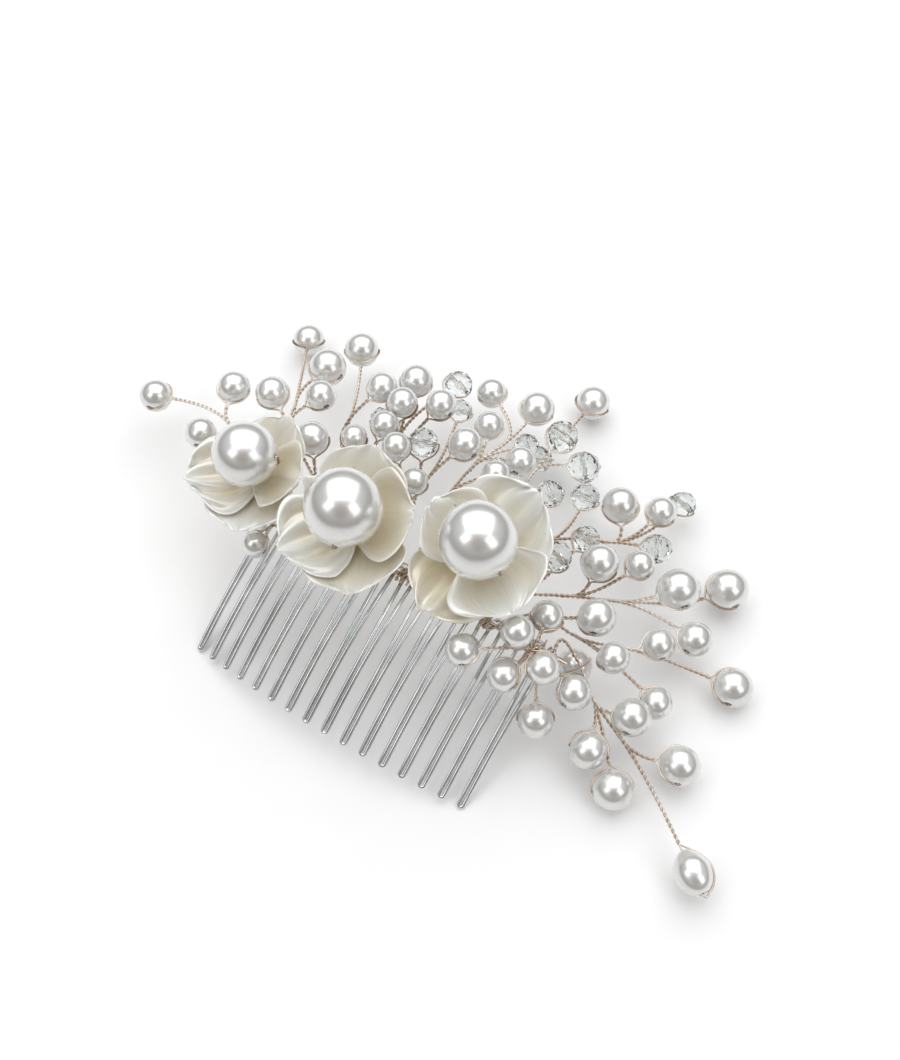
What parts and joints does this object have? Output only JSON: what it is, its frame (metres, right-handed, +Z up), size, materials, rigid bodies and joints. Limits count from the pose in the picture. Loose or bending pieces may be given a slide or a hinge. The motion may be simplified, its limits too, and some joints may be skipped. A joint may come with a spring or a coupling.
{
  "type": "hair comb",
  "caption": "Wire hair comb with an arched row of teeth, trimmed along its bar with shell flowers, large centre pearls and branching sprays of pearls and crystals on twisted wire.",
  "frame": {"origin": "middle of the footprint, on the table that the comb lies on", "axes": "+X along the comb's bar, towards the long sprays; -Y is the way the teeth point; +Z up from the table"},
  "size_m": [0.1438, 0.0926, 0.0431],
  "materials": {
    "comb_wire": "silver plated wire, bright with fine drawing lines",
    "trim_wire": "fine twisted champagne wire, soft sheen",
    "shell": "shell-like petals with a pearly lustre and whiter rims",
    "pearl": "imitation pearl, smooth nacre lustre",
    "crystal": "clear faceted glass"
  },
  "bodies": {
    "comb": {"binding_wire": "trim_wire", "comb_bar": "comb_wire", "comb_teeth": "comb_wire", "crystal_back_right": "crystal", "crystal_high_right": "crystal", "crystal_middle": "crystal", "flower_left_petal_1": "shell", "flower_left_petal_2": "shell", "flower_left_petal_3": "shell", "flower_left_petal_4": "shell", "flower_left_petal_5": "shell", "flower_left_wire": "trim_wire", "flower_middle_petal_1": "shell", "flower_middle_petal_2": "shell", "flower_middle_petal_3": "shell", "flower_middle_petal_4": "shell", "flower_middle_petal_5": "shell", "flower_middle_wire": "trim_wire", "flower_right_petal_1": "shell", "flower_right_petal_2": "shell", "flower_right_petal_3": "shell", "flower_right_petal_4": "shell", "flower_right_petal_5": "shell", "flower_right_wire": "trim_wire", "pearl_back": "pearl", "pearl_back_left": "pearl", "pearl_back_right": "pearl", "pearl_drop": "pearl", "pearl_far_back": "pearl", "pearl_far_back_left": "pearl", "pearl_far_left": "pearl", "pearl_front": "pearl", "pearl_front_low": "pearl", "pearl_high_right": "pearl", "pearl_inner_right": "pearl", "pearl_left": "pearl", "pearl_long_right": "pearl", "pearl_long_tip": "pearl", "pearl_low_near": "pearl", "pearl_low_right": "pearl", "pearl_mid_back_left": "pearl", "pearl_middle": "pearl", "pearl_right_tip": "pearl", "spray_back": "trim_wire", "spray_back_left": "trim_wire", "spray_back_right": "trim_wire", "spray_far_left": "trim_wire", "spray_front": "trim_wire", "spray_high_right": "trim_wire", "spray_inner": "trim_wire", "spray_long_right": "trim_wire", "spray_low_right": "trim_wire", "spray_mid_left": "trim_wire", "spray_middle": "trim_wire", "spray_right": "trim_wire", "spray_under": "trim_wire", "vine_wire": "trim_wire"},
    "left_pearl": {"flower_left_pearl": "pearl"},
    "middle_pearl": {"flower_middle_pearl": "pearl"},
    "right_pearl": {"flower_right_pearl": "pearl"}
  },
  "joints": [
    {"name": "left_pearl_turn", "type": "hinge", "parent": "comb", "child": "left_pearl", "pos_m": [-0.03587, -0.01684, 0.03121], "axis": [0.9253, 0.3304, 0.1863], "continuous": true},
    {"name": "middle_pearl_turn", "type": "hinge", "parent": "comb", "child": "middle_pearl", "pos_m": [-0.01287, -0.01884, 0.03621], "axis": [0.2878, -0.9045, -0.3147], "continuous": true},
    {"name": "right_pearl_turn", "type": "hinge", "parent": "comb", "child": "right_pearl", "pos_m": [0.01013, -0.01184, 0.03621], "axis": [-0.8892, 0.4062, 0.2106], "continuous": true}
  ]
}
